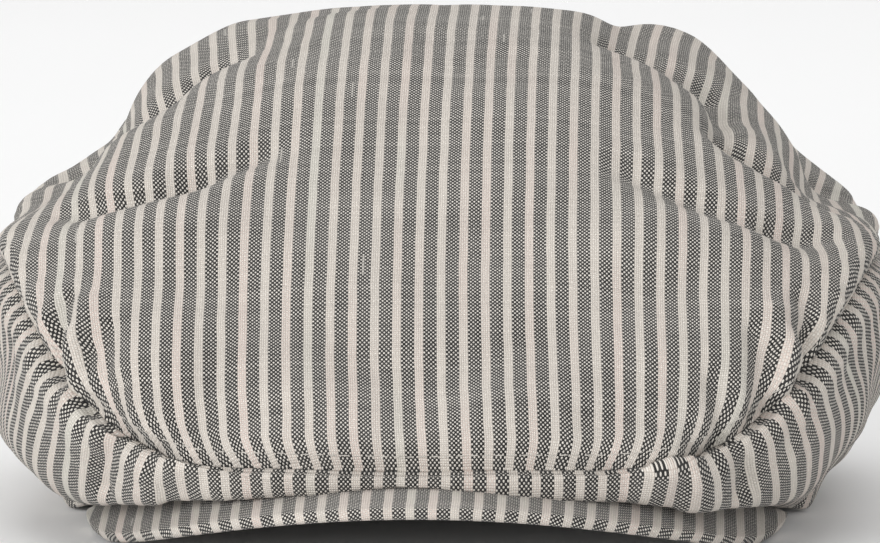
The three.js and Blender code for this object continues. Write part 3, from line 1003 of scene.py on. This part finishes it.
def stitch_row(places, normals, spacing, radius, fill=0.74):
    """Stitches along a line: each an ellipsoid, long along the line and sunk by half its height."""
    steps = np.linalg.norm(np.diff(places, axis=0), axis=1)
    length = np.concatenate([[0], np.cumsum(steps)])
    centres = np.arange(spacing / 2, length[-1], spacing)

    def read(values):
        return np.stack([np.interp(centres, length, values[:, k]) for k in range(3)], -1)

    centre, normal = read(places), unit(read(normals))
    tangent = unit(read(np.gradient(places, axis=0)))
    side = unit(np.cross(normal, tangent))
    turn, tilt = np.meshgrid(np.linspace(0, 2 * np.pi, 7)[:-1], np.linspace(0, np.pi, 6))
    along = np.cos(tilt)[..., None] * tangent[:, None, None] * spacing * fill / 2
    wide = (np.sin(tilt) * np.cos(turn))[..., None] * side[:, None, None] * radius
    tall = (np.sin(tilt) * np.sin(turn))[..., None] * normal[:, None, None] * radius
    points = centre[:, None, None] + along + wide + tall
    vertex, _ = grid_faces(5, 6, True, flip=True)
    block = points.shape[1] * points.shape[2]
    faces = (vertex[None] + (np.arange(len(centre)) * block)[:, None, None]).reshape(-1, 4)
    return points.reshape(-1, 3), faces


def finish_piece(made, material, node=None):
    """Gives a piece its material and its body, and hides the node it stands for."""
    made.data.materials.append(material)
    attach(made, "root")
    if node:
        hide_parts(node)
    return made


class CAP_OT_top_panel(bpy.types.Operator):
    """Make the top panel: one piece of striped cloth from the seam up over the crown"""

    bl_idname = "cap.top_panel"
    bl_label = "Top Panel"

    def execute(self, context):
        rows = (PANEL_ROWS, PANEL_INNER_ROWS)
        made = round_wall("cap_top_panel", panel_rings, panel_grain, *rows, SEAM_BULGE, None)
        cloth = striped_material("cap_striped_cloth", CROWN_STRIPE_SHIFT)
        finish_piece(made, cloth, "top_panel")
        return {"FINISHED"}


class CAP_OT_side_band(bpy.types.Operator):
    """Make the side band: striped cloth from the seam down and in to the hem"""

    bl_idname = "cap.side_band"
    bl_label = "Side Band"

    def execute(self, context):
        rows = (BAND_ROWS, BAND_INNER_ROWS)
        made = round_wall("cap_side_band", band_rings, band_grain, *rows, SEAM_BULGE, HEM_BULGE)
        finish_piece(made, bpy.data.materials["cap_striped_cloth"], "side_band")
        return {"FINISHED"}


class CAP_OT_peak(bpy.types.Operator):
    """Make the peak: a stiff arched board covered with striped cloth, its border rounded"""

    bl_idname = "cap.peak"
    bl_label = "Peak"

    def execute(self, context):
        upper, lower, grain = peak_grid()
        rows, columns = upper.shape[0] - 1, upper.shape[1] - 1
        top_faces, corner = grid_faces(rows, columns, False, flip=True)
        low_faces, low_corner = grid_faces(rows, columns, False, offset=upper[..., 0].size)
        made = make_mesh(
            "cap_peak",
            np.concatenate([upper.reshape(-1, 3), lower.reshape(-1, 3)]),
            np.concatenate([top_faces, low_faces]),
            np.concatenate([grain[0].reshape(-1, 2)[corner], grain[1].reshape(-1, 2)[low_corner]]),
        )
        close_mesh(made, MERGE)
        finish_piece(made, striped_material("cap_peak_cloth", PEAK_STRIPE_SHIFT), "peak")
        return {"FINISHED"}


class CAP_OT_topstitching(bpy.types.Operator):
    """Make the topstitching that runs round the top panel beside the seam"""

    bl_idname = "cap.topstitching"
    bl_label = "Topstitching"

    def execute(self, context):
        angle = np.linspace(-180, 180, SEAM_COLUMNS)
        ring = ring_beside_seam(angle, STITCH_PLACE)
        places = cloth_surface(angle, ring)
        normals = crown_normal(angle, ring)
        points, faces = stitch_row(places, normals, sizes().stitch, STITCH_RADIUS)
        made = make_mesh("cap_topstitching", points, faces, np.zeros((faces.size, 2)))
        close_mesh(made, MERGE / 4)
        finish_piece(made, thread_material())
        return {"FINISHED"}


class CAP_OT_stage(bpy.types.Operator):
    """Make the stage: a pale floor that sweeps up behind the cap, soft lights and the camera"""

    bl_idname = "cap.stage"
    bl_label = "Stage"

    def execute(self, context):
        self.make_floor()
        self.make_lights()
        self.make_camera(context)
        return {"FINISHED"}

    def make_floor(self):
        """Floor profile along y: flat, then a quarter circle up into an upright wall."""
        turn = np.linspace(0, np.pi / 2, 17)
        bend, front, back, height, half = 1.2, -4.0, 3.2, 3.5, 5.0
        y = np.concatenate([[front], back + bend * np.sin(turn), [back + bend]])
        z = np.concatenate([[0], bend * (1 - np.cos(turn)), [height]])
        x = np.array([-half, half])
        grid = np.stack(np.broadcast_arrays(x[None], y[:, None], z[:, None]), -1)
        faces, corner = grid_faces(len(y) - 1, 1, False)
        floor = make_mesh("studio_floor", grid, faces, grid.reshape(-1, 3)[:, :2][corner])
        make = ClothMaker("studio_floor")
        place = make.node("ShaderNodeTexCoord").outputs["Object"]
        mottle = make.noise(place, 3.0, 2.0)
        colour = make.shade(colour4(colours().floor), 1.0 + mottle * 0.02)
        floor.data.materials.append(make.finish({"Base Color": colour, "Roughness": 0.9}))

    def make_lights(self):
        """Three soft boxes in front, one above, and a pale world. Place, target, width, watts."""
        rows = {
            "key_light": ((-1.8, -1.9, 0.8), (0, 0, 0.05), 1.3, 44),
            "fill_light": ((1.6, -1.8, 0.6), (0, 0, 0.05), 1.2, 8),
            "front_light": ((0.0, -2.6, 0.3), (0, 0, 0.03), 1.2, 15),
            "top_light": ((0.0, 1.2, 2.4), (0, 1.3, 0), 2.4, 34),
        }
        for name, (place, target, width, power) in rows.items():
            light = bpy.data.lights.new(name, "AREA")
            light.size = width
            light.energy = power
            lamp = bpy.data.objects.new(name, light)
            look = np.array(target) - np.array(place)
            lamp.location = place
            lamp.rotation_euler = Vector(look.tolist()).to_track_quat("-Z", "Y").to_euler()
            bpy.context.scene.collection.objects.link(lamp)
        world = bpy.data.worlds.new("studio")
        world.use_nodes = True
        background = world.node_tree.nodes["Background"].inputs
        background["Color"].default_value = (1, 1, 1, 1)
        background["Strength"].default_value = 0.5
        bpy.context.scene.world = world

    def make_camera(self, context):
        """Camera at the photograph's angle: the seam's front centre falls on its own pixel."""
        tilt, turn = np.radians(VIEW_ELEVATION), np.radians(VIEW_AZIMUTH)
        forward = np.array([-np.sin(turn) * np.cos(tilt), np.cos(turn) * np.cos(tilt), -np.sin(tilt)])
        right = np.array([np.cos(turn), np.sin(turn), 0])
        up = np.cross(right, forward)
        seam = np.array([0, axis_y() - SEAM_REACH, SEAM_HEIGHT])
        rise = (SEAM_PIXEL[1] - IMAGE_HEIGHT / 2) / PIXELS_PER_METRE
        aside = (IMAGE_WIDTH / 2 - SEAM_PIXEL[0]) / PIXELS_PER_METRE
        place = seam + up * rise + right * aside - forward * VIEW_DISTANCE
        data = bpy.data.cameras.new("camera")
        data.sensor_width = SENSOR_WIDTH
        data.lens = PIXELS_PER_METRE * VIEW_DISTANCE / IMAGE_WIDTH * SENSOR_WIDTH
        data.clip_start, data.clip_end = 0.05, 50
        camera = bpy.data.objects.new("camera", data)
        turned = Matrix([[right[k], up[k], -forward[k]] for k in range(3)])
        camera.matrix_world = Matrix.Translation(place.tolist()) @ turned.to_4x4()
        context.scene.collection.objects.link(camera)
        context.scene.camera = camera
        context.scene.view_settings.view_transform = "Standard"


class CAP_PT_panel(bpy.types.Panel):
    """Sizes, colours and makers of the cap"""

    bl_idname = "CAP_PT_panel"
    bl_label = "Flat Cap"
    bl_space_type = "VIEW_3D"
    bl_region_type = "UI"
    bl_category = "Flat Cap"

    def draw(self, context):
        for group in (context.scene.cap_sizes, context.scene.cap_colours):
            for name in group.bl_rna.properties.keys():
                if name not in ("rna_type", "name"):
                    self.layout.prop(group, name)
        for operator in OPERATORS:
            self.layout.operator(operator.bl_idname)


OPERATORS = (
    CAP_OT_stage,
    CAP_OT_top_panel,
    CAP_OT_side_band,
    CAP_OT_peak,
    CAP_OT_topstitching,
)
CLASSES = (CapSizes, CapColours, *OPERATORS, CAP_PT_panel)


def register():
    for kind in CLASSES:
        bpy.utils.register_class(kind)
    bpy.types.Scene.cap_sizes = PointerProperty(type=CapSizes)
    bpy.types.Scene.cap_colours = PointerProperty(type=CapColours)


def unregister():
    del bpy.types.Scene.cap_colours
    del bpy.types.Scene.cap_sizes
    for kind in reversed(CLASSES):
        bpy.utils.unregister_class(kind)


def main():
    register()
    bpy.ops.cap.stage()
    bpy.ops.cap.top_panel()
    bpy.ops.cap.side_band()
    bpy.ops.cap.peak()
    bpy.ops.cap.topstitching()


if __name__ == "__main__":
    main()
